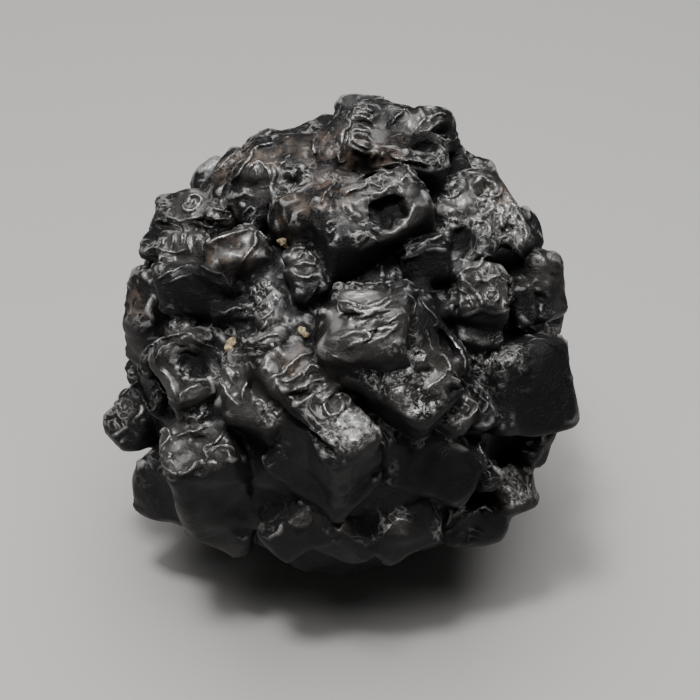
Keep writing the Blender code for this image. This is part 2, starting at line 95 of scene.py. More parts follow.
# How much the surface stands out from its surroundings where it counts as a crest
CREST_BLUR_PASSES = 6
CREST_HEIGHT = 0.18

# The stone's colours, as linear light
BARE_CRUST = (0.010, 0.009, 0.009)
# painted sheen: a lighter grey for facets that a lamp would light
PAINTED_SATIN_SHEEN = (0.036, 0.033, 0.030)
BROWN_TINT = (0.070, 0.052, 0.041)
# painted highlight: a bright colour for lines, crests, curls and grains that face up
OXIDE_SHINE_AND_HIGHLIGHT = (0.52, 0.515, 0.5)
# painted shade: a near-black colour for pits, hollows and sheltered faces
PAINTED_SHADE_BLACK = (0.005, 0.0045, 0.0045)
SEDIMENT_DARK = (0.16, 0.12, 0.07)
SEDIMENT_PALE = (0.42, 0.34, 0.21)
FLOOR_GREY = (0.42, 0.41, 0.4)

# The stone's gloss. Two values are those of the smooth and the speckled crust.
CRUST_ROUGHNESS = (0.4, 0.52)
POLISHED_ROUGHNESS = 0.24
SUNK_ROUGHNESS = 0.6
DULL_ROUGHNESS = 0.65
LUSTRE = 0.9
CRUST_SHEEN = (0.05, 0.2)
SATIN_SHEEN = 0.55
SUNK_SHEEN = 0.05

# The studio, in metres and watts
FLOOR_ACROSS = 4.0
SURROUND_LIGHT = 0.05
Softbox = namedtuple("Softbox", "name place size power")
SOFTBOXES = (
    Softbox("ceiling", (0.0, 0.02, 0.5), (0.5, 0.7), 4.0),
    Softbox("key", (-0.06, -0.12, 0.42), (0.07, 0.07), 1.3),
)

# Where the surface is crumbly rather than smooth, centred under a spot and this wide. The crumbly places also
# get painted glints in their colour.
Patch = namedtuple("Patch", "name spot across")

CRUMBLY = (
    Patch("nose_front", (396, 378), 9.0),
    Patch("nose_front", (420, 408), 5.0),
    Patch("slab_end", (350, 428), 6.0),
    Patch("slab_end", (368, 430), 5.0),
    Patch("right_block", (515, 368), 9.0),
    Patch("right_block", (490, 362), 5.0),
    Patch("round_hollow", (194, 366), 4.5),
    Patch("tongue", (272, 413), 3.5),
    Patch("nose_tip", (452, 420), 3.5),
    Patch("low_right", (505, 478), 4.0),
    Patch("lower_left_chip", (195, 418), 4.0),
    Patch("throat", (455, 232), 5.0),
    Patch("gap", (262, 300), 5.0),
    Patch("right_upper", (500, 215), 8.0),
    Patch("crown_side", (452, 165), 5.0),
)

# Where the surface is matte and painted dark as shade, as in pits and on sheltered faces
DULL_AND_PAINTED_SHADE = (
    Patch("brow_pit", (381, 211), 2.6),
    Patch("brow_pit", (390, 205), 2.8),
    Patch("brow_pit", (398, 199), 2.2),
    Patch("brow_pit", (400, 211), 2.6),
    Patch("brow_pit", (389, 219), 2.8),
    Patch("crown_pit", (446, 129), 2.6),
    Patch("crown_hollow", (421, 149), 4.5),
    Patch("crown_side", (455, 170), 4.0),
    Patch("round_hollow", (188, 358), 3.0),
    Patch("round_hollow", (201, 361), 3.2),
    Patch("round_hollow", (198, 374), 2.6),
    Patch("dark_block", (206, 293), 7.5),
    Patch("dark_block", (190, 302), 5.0),
    Patch("wedge", (428, 272), 6.0),
    Patch("throat", (462, 240), 4.0),
    Patch("cracked_foot", (486, 322), 5.0),
    Patch("nose_recess", (457, 390), 2.6),
    Patch("right_hollow", (520, 262), 4.0),
    Patch("right_edge_pit", (541, 297), 2.5),
    Patch("right_block", (545, 400), 10.0),
    Patch("right_block", (548, 368), 8.0),
    Patch("right_block", (522, 396), 6.0),
    Patch("low_front", (268, 508), 5.0),
    Patch("low_front", (427, 512), 5.0),
    Patch("low_front", (365, 528), 3.0),
    Patch("low_front", (455, 478), 7.0),
    Patch("low_front", (425, 470), 7.0),
)

# Where the wind has worn the facets to a glossy coat, and where their colour is lightened as painted sheen
SATIN_AND_PAINTED_SHEEN = (
    Patch("crown_ladder", (360, 130), 7.0),
    Patch("crown_rim", (424, 124), 5.0),
    Patch("brow", (378, 180), 8.0),
    Patch("brow_lobe", (354, 211), 4.0),
    Patch("brow_lobe", (411, 214), 4.0),
    Patch("brow_lobe", (392, 236), 3.0),
    Patch("throat", (455, 205), 4.0),
    Patch("right_upper", (492, 200), 8.0),
    Patch("right_upper", (512, 232), 5.0),
    Patch("cracked", (486, 288), 8.0),
    Patch("nose", (368, 318), 9.5),
    Patch("nose", (345, 345), 5.0),
    Patch("nose_shine", (437, 368), 6.0),
    Patch("nose_patch", (402, 398), 3.5),
    Patch("nose_tip", (464, 408), 4.5),
    Patch("right_edge", (540, 275), 5.0),
    Patch("low_right", (512, 488), 6.0),
    Patch("low_fleck", (301, 519), 2.6),
    Patch("low_fleck", (341, 523), 2.4),
    Patch("low_fleck", (396, 526), 2.8),
    Patch("shoulder", (264, 176), 6.0),
    Patch("ear_top", (190, 203), 5.0),
    Patch("ear_top", (222, 213), 4.0),
    Patch("ear_middle", (182, 241), 6.0),
    Patch("ear_fold", (242, 244), 5.0),
    Patch("gap", (298, 262), 4.0),
    Patch("round_lip", (166, 384), 4.5),
    Patch("round_lip", (192, 397), 3.5),
    Patch("round_rim", (180, 338), 5.0),
    Patch("tongue", (232, 372), 5.5),
    Patch("tongue", (248, 400), 5.0),
    Patch("tongue", (272, 414), 3.5),
    Patch("folded_top", (266, 330), 4.5),
    Patch("slab_head", (286, 366), 6.5),
    Patch("slab", (322, 392), 6.0),
    Patch("slab_end", (350, 425), 7.0),
    Patch("lower_left", (178, 445), 8.0),
    Patch("lower_left", (212, 448), 5.0),
    Patch("knob", (124, 408), 3.0),
)

# Where the stone is tinted brown
BROWN = (
    Patch("crown_slope", (330, 145), 8.0),
    Patch("brow_shoulder", (322, 190), 8.0),
    Patch("saddle", (290, 205), 6.0),
    Patch("shoulder", (262, 148), 8.0),
    Patch("shoulder", (235, 165), 6.0),
    Patch("crown", (385, 145), 6.0),
    Patch("ear_fold", (228, 252), 6.0),
    Patch("slab_head", (284, 360), 6.0),
    Patch("left_facet", (135, 305), 5.0),
    Patch("right_upper", (505, 190), 5.0),
)

# The grains of dried sediment that stick in the seams
GRAINS = (
    Patch("ear_fold_grain", (283, 241), 1.0),
    Patch("ear_fold_grain", (287, 245), 0.7),
    Patch("round_seam_grain", (232, 343), 1.1),
    Patch("round_seam_grain", (229, 348), 0.8),
    Patch("slab_seam_grain", (302, 331), 1.0),
    Patch("slab_seam_grain", (306, 335), 0.7),
)

# A stroke follows a route of drawing spots on the surface. Raised strokes have a height above 0, and grooves
# one below 0.
Stroke = namedtuple("Stroke", "name wide tall route")

STROKES = (
    Stroke("crown_rung", 0.6, 0.3, ((355, 109), (365, 110), (375, 112))),
    Stroke("crown_rung", 0.5, 0.3, ((353, 114), (362, 113), (370, 116), (375, 119))),
    Stroke("crown_rung", 0.5, 0.3, ((350, 118), (358, 116), (367, 119), (374, 123))),
    Stroke("crown_rung", 0.6, 0.35, ((356, 125), (364, 127), (373, 132))),
    Stroke("crown_rung", 0.6, 0.35, ((354, 142), (362, 145), (370, 149))),
    Stroke("crown_rung", 0.6, 0.3, ((352, 147), (360, 150), (368, 154))),
    Stroke("crown_rung", 0.5, 0.3, ((352, 131), (361, 130), (371, 134))),
    Stroke("crown_rung", 0.5, 0.35, ((351, 137), (359, 134), (369, 138))),
    Stroke("crown_slot", 0.7, -0.4, ((357, 122), (366, 123), (375, 127))),
    Stroke("crown_slot", 0.9, -0.5, ((358, 137), (365, 138), (372, 142))),
    Stroke("crown_slot", 0.9, -0.5, ((353, 154), (360, 156), (367, 157))),
    Stroke("crown_arch", 0.6, 0.35, (
        (342, 150), (341, 141), (344, 131), (350, 126), (348, 118), (351, 111),
    )),
    Stroke("crown_arch", 0.5, 0.25, ((346, 132), (348, 138), (345, 146))),
    Stroke("crown_hook", 0.5, 0.3, ((341, 151), (338, 156), (340, 162), (347, 159))),
    Stroke("crown_tick", 0.5, 0.3, ((372, 159), (375, 153))),
    Stroke("crown_tick", 0.5, 0.3, ((382, 158), (383, 152))),
    Stroke("crown_blade", 0.5, 0.3, ((390, 125), (397, 118), (403, 112), (409, 110))),
    Stroke("crown_rim", 0.7, 0.4, (
        (406, 138), (415, 135), (419, 127), (426, 121), (434, 117), (442, 114), (449, 117),
    )),
    Stroke("crown_rim", 0.6, 0.3, ((418, 132), (428, 130), (437, 124), (450, 119))),
    Stroke("crown_under_pit", 0.7, 0.35, ((438, 138), (446, 141), (453, 140), (458, 135))),
    Stroke("crown_ledge", 0.6, 0.4, ((391, 156), (402, 160), (417, 161), (428, 164))),
    Stroke("crown_ledge_foot", 0.9, -0.5, ((388, 161), (402, 164), (417, 165), (430, 170))),
    Stroke("crown_layer", 0.5, -0.25, ((324, 150), (329, 137), (337, 122), (343, 108))),
    Stroke("crown_layer", 0.4, -0.2, ((331, 154), (334, 142), (341, 128))),
    Stroke("crown_spot", 0.9, 0.4, ((317, 138), (315, 147), (317, 156))),
    Stroke("brow_line", 0.55, 0.38, (
        (343, 198), (346, 193), (354, 189), (363, 188), (368, 182), (374, 179), (383, 181), (394, 183),
    )),
    Stroke("brow_line", 0.5, 0.35, ((355, 182), (362, 176), (370, 173), (381, 172), (391, 174), (398, 173))),
    Stroke("brow_line", 0.55, 0.38, ((362, 194), (373, 195), (383, 193), (391, 188), (400, 184))),
    Stroke("brow_line", 0.55, 0.4, (
        (371, 169), (382, 166), (393, 163), (401, 163), (407, 168), (411, 173), (419, 181), (429, 193),
    )),
    Stroke("brow_line", 0.5, 0.3, ((401, 183), (405, 177), (411, 174))),
    Stroke("brow_line", 0.45, 0.25, ((368, 183), (377, 186), (384, 190))),
    Stroke("brow_pit", 2.4, -0.5, ((377, 211), (388, 205), (399, 200))),
    Stroke("brow_pit_corner", 1.5, -0.9, ((391, 207), (397, 199), (402, 191))),
    Stroke("brow_pit_corner", 1.4, -0.8, ((386, 209), (379, 207), (370, 205))),
    Stroke("brow_pit_corner", 1.5, -0.8, ((390, 212), (388, 221), (386, 230))),
    Stroke("brow_pit_corner", 1.4, -0.7, ((394, 210), (402, 213), (409, 215))),
    Stroke("brow_layer", 0.4, 0.2, ((321, 204), (325, 195), (334, 185), (341, 178))),
    Stroke("brow_layer", 0.4, -0.2, ((327, 208), (333, 197), (341, 188), (349, 179))),
    Stroke("brow_layer", 0.4, -0.2, ((312, 196), (321, 184), (331, 173), (341, 166))),
    Stroke("brow_lobe", 1.2, 0.35, ((346, 204), (354, 213), (364, 218))),
    Stroke("brow_lobe", 1.2, 0.4, ((376, 231), (387, 234), (399, 229), (407, 220), (414, 208), (416, 198))),
    Stroke("brow_lobe_edge", 0.6, -0.35, ((343, 208), (353, 220), (366, 226), (377, 237))),
    Stroke("brow_foot", 0.5, 0.3, ((357, 230), (367, 235), (380, 243))),
    Stroke("brow_fleck", 0.6, 0.25, ((324, 229), (331, 232), (336, 228))),
    Stroke("wedge_top", 0.6, 0.35, ((403, 260), (412, 257), (421, 254))),
    Stroke("wedge_top", 0.6, 0.35, ((416, 248), (426, 243), (436, 239), (445, 235))),
    Stroke("wedge_top", 0.9, 0.4, ((425, 251), (437, 249), (446, 250))),
    Stroke("throat_rim", 0.5, 0.3, ((440, 195), (448, 198), (456, 196), (461, 189))),
    Stroke("throat_lump", 1.3, 0.45, ((449, 209), (456, 212), (465, 212))),
    Stroke("throat_slot", 0.8, -0.6, ((446, 219), (456, 222), (467, 221))),
    Stroke("throat_lump", 1.0, 0.35, ((450, 227), (458, 227), (466, 225))),
    Stroke("right_upper_rim", 0.55, 0.35, (
        (504, 203), (512, 205), (518, 213), (524, 224), (526, 237), (524, 246),
    )),
    Stroke("right_upper_lip", 0.6, 0.4, ((496, 247), (502, 238), (510, 241), (517, 251), (526, 262))),
    Stroke("right_upper_lip", 0.8, -0.5, ((497, 252), (504, 247), (511, 251), (517, 259))),
    Stroke("right_upper_knot", 0.8, 0.4, ((472, 189), (480, 179), (489, 181), (496, 189), (491, 195))),
    Stroke("right_upper_knot", 0.7, 0.35, ((489, 197), (499, 195), (503, 187))),
    Stroke("right_upper_knot", 0.8, 0.4, ((478, 204), (486, 200), (492, 206), (488, 215))),
    Stroke("right_upper_knot", 0.7, 0.35, ((476, 220), (485, 223), (490, 232), (488, 240))),
    Stroke("right_upper_knot", 0.7, 0.35, ((497, 205), (503, 212), (500, 222), (505, 230), (512, 234))),
    Stroke("right_upper_knot", 0.6, 0.3, ((507, 212), (513, 218), (516, 227))),
    Stroke("right_upper_gap", 0.8, -0.45, ((494, 199), (496, 210), (494, 221), (497, 231))),
    Stroke("right_upper_gap", 0.7, -0.4, ((477, 196), (484, 193), (488, 188))),
    Stroke("right_upper_gap", 0.7, -0.4, ((508, 219), (509, 226), (514, 231))),
    Stroke("cracked_outer", 0.6, 0.35, (
        (457, 277), (468, 268), (478, 267), (483, 259), (489, 254), (496, 260),
    )),
    Stroke("cracked_web", 0.6, 0.35, ((462, 280), (469, 285), (474, 292), (480, 300), (484, 309))),
    Stroke("cracked_web", 0.6, 0.35, ((458, 288), (465, 292), (470, 300), (474, 309))),
    Stroke("cracked_web", 0.5, 0.35, ((470, 279), (478, 281), (488, 280), (498, 275), (496, 267))),
    Stroke("cracked_web", 0.5, 0.35, ((484, 295), (490, 292), (497, 292), (496, 300), (492, 307))),
    Stroke("cracked_web", 0.5, 0.3, ((484, 294), (487, 300), (490, 306))),
    Stroke("cracked_web", 0.5, 0.35, ((507, 271), (512, 284), (510, 297), (505, 305))),
    Stroke("cracked_web", 0.5, 0.3, ((498, 276), (505, 281), (511, 282))),
    Stroke("cracked_web", 0.5, 0.3, ((473, 270), (477, 276), (478, 281))),
    Stroke("cracked_foot", 0.7, 0.35, (
        (459, 319), (469, 315), (480, 311), (491, 314), (502, 313), (510, 308),
    )),
    Stroke("cracked_slot", 0.9, -0.8, ((453, 276), (454, 290), (455, 303), (457, 316))),
    Stroke("nose_back_band", 0.5, 0.25, ((335, 284), (349, 283), (365, 284), (383, 283), (403, 281))),
    Stroke("nose_back_band", 0.5, -0.25, ((334, 288), (350, 288), (368, 289), (386, 288), (402, 286))),
    Stroke("nose_band", 0.8, 0.4, ((335, 299), (346, 302), (355, 306), (367, 308), (382, 302), (397, 294))),
    Stroke("nose_band", 0.7, 0.35, ((340, 306), (352, 309), (362, 312), (376, 310), (389, 303), (398, 300))),
    Stroke("nose_band", 0.8, 0.4, ((346, 324), (355, 319), (367, 315), (382, 311), (396, 310))),
    Stroke("nose_band", 0.8, 0.4, ((362, 335), (369, 330), (381, 324), (392, 319), (400, 314))),
    Stroke("nose_band", 0.7, 0.4, (
        (333, 342), (344, 336), (355, 333), (366, 334), (368, 338), (356, 342), (347, 346),
    )),
    Stroke("nose_band", 0.7, 0.35, ((368, 338), (378, 331), (386, 328), (395, 327))),
    Stroke("nose_band", 0.7, 0.35, ((361, 345), (374, 341), (386, 335), (393, 328), (400, 323))),
    Stroke("nose_groove", 0.7, -0.4, ((340, 317), (352, 315), (364, 317))),
    Stroke("nose_groove", 0.7, -0.35, ((373, 318), (385, 316), (397, 316))),
    Stroke("nose_groove", 0.6, -0.3, ((350, 328), (360, 326), (372, 321))),
    Stroke("nose_lip", 0.8, 0.3, ((330, 353), (340, 357), (351, 360), (362, 357))),
    Stroke("nose_flank_curl", 0.5, 0.35, ((408, 294), (413, 300), (415, 308), (411, 317))),
    Stroke("nose_flank_curl", 0.5, 0.35, ((419, 297), (426, 308), (432, 313), (436, 321), (432, 328))),
    Stroke("nose_flank_streak", 0.5, 0.3, ((426, 330), (429, 344), (434, 354))),
    Stroke("nose_flank_streak", 0.6, 0.35, ((445, 330), (454, 341), (461, 350), (464, 362), (464, 376))),
    Stroke("nose_flank_streak", 0.5, 0.3, ((450, 367), (459, 378), (466, 385))),
    Stroke("nose_flank_gap", 0.9, -0.5, ((438, 328), (446, 342), (452, 356))),
    Stroke("nose_ring", 0.6, 0.35, ((413, 356), (417, 350), (424, 353), (423, 360), (416, 362))),
    Stroke("nose_shine", 0.7, 0.35, ((433, 354), (442, 355), (448, 362), (449, 370), (442, 373))),
    Stroke("nose_shine", 0.7, 0.35, ((424, 390), (432, 385), (441, 380), (448, 371))),
    Stroke("nose_patch", 1.4, 0.35, ((391, 396), (400, 392), (408, 398))),
    Stroke("nose_fleck", 0.7, 0.3, ((414, 402), (424, 407), (422, 417))),
    Stroke("nose_recess", 1.8, -0.9, ((447, 394), (456, 390), (466, 386))),
    Stroke("nose_tip_rim", 0.6, 0.35, ((467, 398), (475, 404), (472, 414), (463, 420), (451, 424))),
    Stroke("nose_tip_swirl", 0.6, 0.3, ((462, 403), (468, 407), (463, 413))),
    Stroke("wedge_low_edge", 0.5, 0.3, ((413, 291), (426, 292), (445, 291))),
    Stroke("seam_streak", 0.5, 0.3, ((472, 385), (478, 395), (486, 405), (483, 414))),
    Stroke("seam_streak", 0.5, 0.3, ((476, 381), (484, 392), (489, 402))),
    Stroke("block_ring", 0.5, 0.35, ((513, 336), (512, 329), (520, 327), (526, 333), (519, 337))),
    Stroke("block_edge", 0.6, 0.35, ((527, 344), (540, 340), (553, 346), (566, 354))),
    Stroke("block_lump", 1.4, 0.5, ((516, 368), (523, 370), (528, 367))),
    Stroke("block_lump", 0.9, 0.4, ((523, 394), (530, 392))),
    Stroke("block_lump", 1.0, 0.4, ((477, 364), (483, 362), (488, 366))),
    Stroke("block_lump", 1.0, 0.4, ((492, 367), (498, 362), (504, 367))),
    Stroke("low_right_curl", 0.5, 0.35, (
        (500, 471), (507, 468), (512, 475), (517, 482), (512, 484), (505, 478),
    )),
    Stroke("low_right_rib", 0.6, 0.3, ((499, 486), (507, 494), (515, 502), (520, 507))),
    Stroke("low_right_rib", 0.6, 0.3, ((518, 481), (519, 494), (523, 505))),
    Stroke("low_right_rib", 0.5, 0.3, ((528, 478), (528, 490), (529, 502))),
    Stroke("low_right_streak", 0.5, 0.3, ((467, 457), (472, 465), (480, 470), (489, 477))),
    Stroke("low_right_streak", 0.5, 0.3, ((473, 457), (484, 467), (491, 478))),
    Stroke("low_right_streak", 0.5, 0.3, ((480, 440), (478, 448), (485, 460))),
    Stroke("low_fleck", 0.6, 0.3, ((474, 512), (484, 507), (494, 514))),
    Stroke("low_fleck", 0.7, 0.3, ((392, 521), (403, 519), (415, 523))),
    Stroke("low_fleck", 0.7, 0.3, ((381, 537), (386, 530), (394, 526))),
    Stroke("low_fleck", 0.6, 0.3, ((333, 527), (340, 529), (344, 522))),
    Stroke("low_fleck", 0.6, 0.35, ((288, 521), (296, 526), (308, 524), (313, 511))),
    Stroke("shoulder_layer", 0.6, 0.35, (
        (229, 187), (240, 172), (248, 161), (256, 150), (270, 144), (281, 146),
    )),
    Stroke("shoulder_layer", 0.5, -0.3, ((222, 184), (233, 171), (244, 160), (254, 151))),
    Stroke("shoulder_layer", 0.5, 0.3, ((206, 182), (218, 170), (231, 158), (246, 147), (264, 139))),
    Stroke("shoulder_almond", 0.5, 0.35, (
        (246, 180), (250, 168), (256, 163), (264, 165), (270, 174), (272, 182), (267, 187), (258, 187),
    )),
    Stroke("shoulder_almond", 0.4, 0.2, ((255, 182), (257, 174), (256, 168))),
    Stroke("shoulder_crest", 0.7, 0.4, (
        (272, 165), (275, 172), (275, 181), (272, 189), (275, 197), (274, 210),
    )),
    Stroke("shoulder_loop", 0.5, 0.35, (
        (284, 178), (285, 173), (290, 171), (294, 178), (293, 187), (286, 195),
    )),
    Stroke("shoulder_tick", 0.5, 0.3, ((280, 165), (286, 163))),
    Stroke("shoulder_tick", 0.5, 0.3, ((285, 159), (292, 156))),
    Stroke("ear_ring", 0.6, 0.4, (
        (187, 201), (191, 196), (198, 195), (202, 200), (198, 208), (190, 212), (185, 207), (187, 200),
    )),
    Stroke("ear_ring", 0.5, 0.3, ((191, 204), (194, 200), (197, 203))),
    Stroke("ear_lens", 0.5, 0.35, (
        (207, 213), (213, 209), (222, 211), (231, 212), (229, 219), (219, 219), (210, 216), (207, 213),
    )),
    Stroke("ear_lens", 0.5, 0.35, ((224, 209), (231, 205), (236, 204))),
    Stroke("ear_edge", 0.6, 0.35, (
        (158, 208), (167, 216), (175, 219), (181, 221), (191, 218), (200, 217), (210, 221), (223, 223),
    )),
    Stroke("ear_tick", 0.5, 0.3, ((167, 213), (172, 208))),
    Stroke("ear_slot", 1.0, -0.7, ((154, 222), (168, 226), (184, 228), (200, 227), (216, 229), (230, 228))),
    Stroke("ear_curl", 0.5, 0.35, ((245, 217), (246, 211), (251, 208), (256, 211), (251, 217))),
    Stroke("ear_rung", 0.5, 0.3, ((167, 236), (164, 246))),
    Stroke("ear_rung", 0.5, 0.3, ((175, 235), (173, 245))),
    Stroke("ear_rung", 0.5, 0.35, ((184, 233), (181, 245))),
    Stroke("ear_rung", 0.5, 0.35, ((190, 233), (190, 246), (193, 254))),
    Stroke("ear_rung", 0.5, 0.3, ((198, 238), (195, 246))),
    Stroke("ear_rung", 0.5, 0.35, ((210, 238), (205, 245), (207, 253))),
    Stroke("ear_middle_foot", 0.5, 0.3, ((149, 249), (159, 248), (170, 252), (181, 251), (191, 248))),
    Stroke("ear_middle_slot", 0.9, -0.7, ((150, 257), (162, 259), (175, 258), (188, 256))),
    Stroke("ear_fold_edge", 0.6, 0.35, ((206, 245), (219, 238), (235, 233), (253, 229))),
    Stroke("ear_fold_rib", 0.6, 0.4, ((253, 228), (256, 237), (253, 248), (245, 257), (240, 267))),
    Stroke("ear_fold_rib", 0.5, 0.35, ((256, 230), (262, 237), (267, 242))),
    Stroke("ear_fold_hollow", 1.2, -0.4, ((222, 246), (234, 247), (243, 244))),
    Stroke("ear_fold_foot", 0.7, 0.4, ((200, 264), (210, 271), (221, 275), (227, 283), (235, 294))),
    Stroke("ear_fold_foot", 0.5, 0.3, ((154, 281), (167, 273), (184, 268), (197, 265))),
    Stroke("dark_block_arch", 0.6, 0.3, (
        (156, 284), (171, 281), (184, 276), (197, 275), (210, 278), (222, 286), (234, 297),
    )),
    Stroke("dark_block_tick", 0.6, 0.3, ((178, 302), (184, 308), (191, 313))),
    Stroke("gap_ledge", 0.7, 0.35, ((213, 308), (222, 313), (234, 309), (245, 307))),
    Stroke("gap_line", 0.6, 0.35, ((259, 322), (268, 315), (275, 308))),
    Stroke("hollow_chip_line", 0.6, 0.35, ((291, 251), (299, 248), (307, 251), (316, 260))),
    Stroke("hollow_chip_line", 0.6, 0.3, ((299, 258), (304, 253))),
    Stroke("hollow_lump_line", 0.6, 0.35, ((293, 265), (304, 263), (317, 264))),
    Stroke("hollow_lump_swirl", 0.6, 0.3, ((291, 268), (296, 276), (308, 278), (315, 272))),
    Stroke("hollow_line", 0.5, 0.35, ((304, 304), (312, 294), (318, 287))),
    Stroke("round_rim_line", 0.6, 0.35, (
        (141, 358), (149, 347), (159, 341), (171, 335), (184, 334), (197, 339), (210, 346), (218, 354),
    )),
    Stroke("round_rim_line", 0.6, 0.3, ((156, 357), (162, 349), (174, 343), (187, 344), (199, 349))),
    Stroke("round_hollow_rib", 0.7, -0.35, ((176, 356), (186, 353), (198, 356))),
    Stroke("round_hollow_rib", 0.7, -0.35, ((181, 370), (192, 375), (204, 372))),
    Stroke("round_lip", 0.7, 0.4, ((159, 368), (165, 371), (171, 379), (175, 389), (180, 400))),
    Stroke("round_lip", 0.6, 0.35, ((181, 400), (184, 392), (194, 387), (200, 384))),
    Stroke("round_lip", 0.5, 0.25, ((155, 373), (159, 386), (167, 395), (179, 403))),
    Stroke("round_left", 0.6, 0.35, ((141, 361), (144, 371), (151, 377))),
    Stroke("lens_edge", 0.5, 0.3, ((144, 390), (144, 402), (151, 411), (157, 402), (152, 391))),
    Stroke("knob_edge", 0.5, 0.3, ((118, 400), (117, 412), (124, 418), (134, 417))),
    Stroke("knob_edge", 0.5, 0.3, ((121, 396), (129, 388), (137, 381))),
    Stroke("lower_left_curl", 0.6, 0.35, ((159, 434), (165, 430), (171, 435), (165, 443), (160, 451))),
    Stroke("lower_left_line", 0.6, 0.4, ((173, 440), (184, 433), (197, 430), (207, 425))),
    Stroke("lower_left_cut", 1.0, -0.5, ((190, 440), (198, 437), (207, 437))),
    Stroke("lower_left_line", 0.6, 0.4, (
        (197, 468), (205, 463), (206, 454), (207, 447), (213, 443), (221, 437), (223, 431),
    )),
    Stroke("lower_left_line", 0.6, 0.35, ((211, 451), (219, 446), (229, 446), (236, 453))),
    Stroke("lower_left_rim", 0.6, 0.4, (
        (160, 457), (165, 465), (174, 473), (184, 473), (194, 466), (197, 459),
    )),
    Stroke("lower_left_bead", 1.0, 0.4, ((168, 454), (173, 456))),
    Stroke("lower_left_chip", 0.6, 0.35, ((186, 421), (192, 415), (198, 419), (204, 412))),
    Stroke("folded_band", 0.6, 0.35, ((216, 366), (221, 379), (227, 392), (235, 401), (243, 407))),
    Stroke("folded_rib", 0.6, 0.4, ((248, 362), (249, 377), (244, 389), (243, 401))),
    Stroke("folded_hook", 0.5, 0.35, ((248, 368), (249, 363), (253, 365), (254, 372))),
    Stroke("folded_groove", 0.8, -0.7, ((240, 338), (241, 353), (238, 365), (236, 378), (231, 392))),
    Stroke("folded_fleck", 0.7, 0.3, ((225, 367), (230, 374), (232, 382))),
    Stroke("tongue_lump", 1.1, 0.4, ((254, 402), (260, 406), (261, 413))),
    Stroke("tongue_lump", 1.1, 0.4, ((267, 413), (273, 416), (279, 420))),
    Stroke("tongue_cut", 0.5, -0.4, ((259, 420), (263, 412), (267, 406))),
    Stroke("folded_top_line", 0.6, 0.35, ((254, 343), (264, 338), (272, 335), (283, 336))),
    Stroke("folded_top_line", 0.6, 0.35, ((259, 335), (265, 326), (269, 318))),
    Stroke("folded_top_cut", 0.8, -0.5, ((254, 349), (265, 350), (276, 345), (284, 340))),
    Stroke("slab_head_edge", 0.6, 0.4, ((267, 381), (278, 376), (289, 366), (300, 357), (312, 352))),
    Stroke("slab_rib", 0.5, 0.35, ((301, 381), (304, 373), (310, 366), (318, 367), (322, 370))),
    Stroke("slab_rib", 0.5, 0.35, ((281, 389), (294, 389), (307, 384), (318, 380), (328, 381))),
    Stroke("slab_rib", 0.5, 0.35, ((291, 406), (302, 401), (313, 396), (324, 389), (330, 384))),
    Stroke("slab_rib", 0.5, 0.3, ((278, 380), (288, 381), (297, 376), (303, 370))),
    Stroke("slab_cut", 0.6, -0.3, ((286, 395), (300, 394), (314, 388))),
    Stroke("slab_cut", 0.6, -0.3, ((308, 378), (313, 373), (319, 373))),
    Stroke("slab_edge", 1.6, 0.5, ((268, 378), (284, 392), (300, 408), (318, 424), (336, 441), (350, 452))),
    Stroke("slab_foot", 1.2, -0.8, ((262, 392), (276, 404), (292, 418), (308, 431), (324, 446), (338, 458))),
    Stroke("slab_rib", 0.5, 0.3, ((318, 405), (326, 398), (334, 391))),
    Stroke("slab_ring", 0.5, 0.35, ((327, 399), (324, 407), (329, 415), (339, 412), (346, 402))),
    Stroke("slab_ring", 0.5, 0.3, ((336, 396), (343, 394), (349, 399), (347, 407))),
    Stroke("slab_edge", 0.6, 0.3, (
        (264, 389), (278, 393), (286, 402), (296, 414), (307, 424), (318, 433), (331, 443), (343, 453),
    )),
)


def sight_line(spot):
    """The direction in which the viewer looks at a spot of the drawing."""
    across = (spot[0] - DRAWING_CENTRE[0]) / DRAWING_PER_MM
    above = (DRAWING_CENTRE[1] - spot[1]) / DRAWING_PER_MM
    return (RIGHT * across + UP * above - TO_VIEWER * VIEW_DISTANCE).normalized()


def surface_under(surface, spot):
    """The place on the surface that the viewer sees at a spot of the drawing."""
    eye = (CENTRE + TO_VIEWER * VIEW_DISTANCE) * MM
    return surface.ray_cast(eye, sight_line(spot))[0]


def deselect_all():
    for chosen in list(bpy.context.selected_objects):
        chosen.select_set(False)


def choose(piece):
    """Makes a piece the only one selected, and the active one."""
    deselect_all()
    piece.select_set(True)
    bpy.context.view_layer.objects.active = piece


def apply_modifiers(piece):
    choose(piece)
    for modifier in list(piece.modifiers):
        bpy.ops.object.modifier_apply(modifier=modifier.name)


def merge_doubles(piece):
    choose(piece)
    bpy.ops.object.mode_set(mode="EDIT")
    bpy.ops.mesh.select_all(action="SELECT")
    bpy.ops.mesh.remove_doubles(threshold=WELD)
    bpy.ops.object.mode_set(mode="OBJECT")


def blank_from(node):
    """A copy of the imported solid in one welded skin, for shaping."""
    blank = bpy.data.objects.new("weathered_stone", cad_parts[node].data.copy())
    bpy.context.scene.collection.objects.link(blank)
    merge_doubles(blank)
    return blank


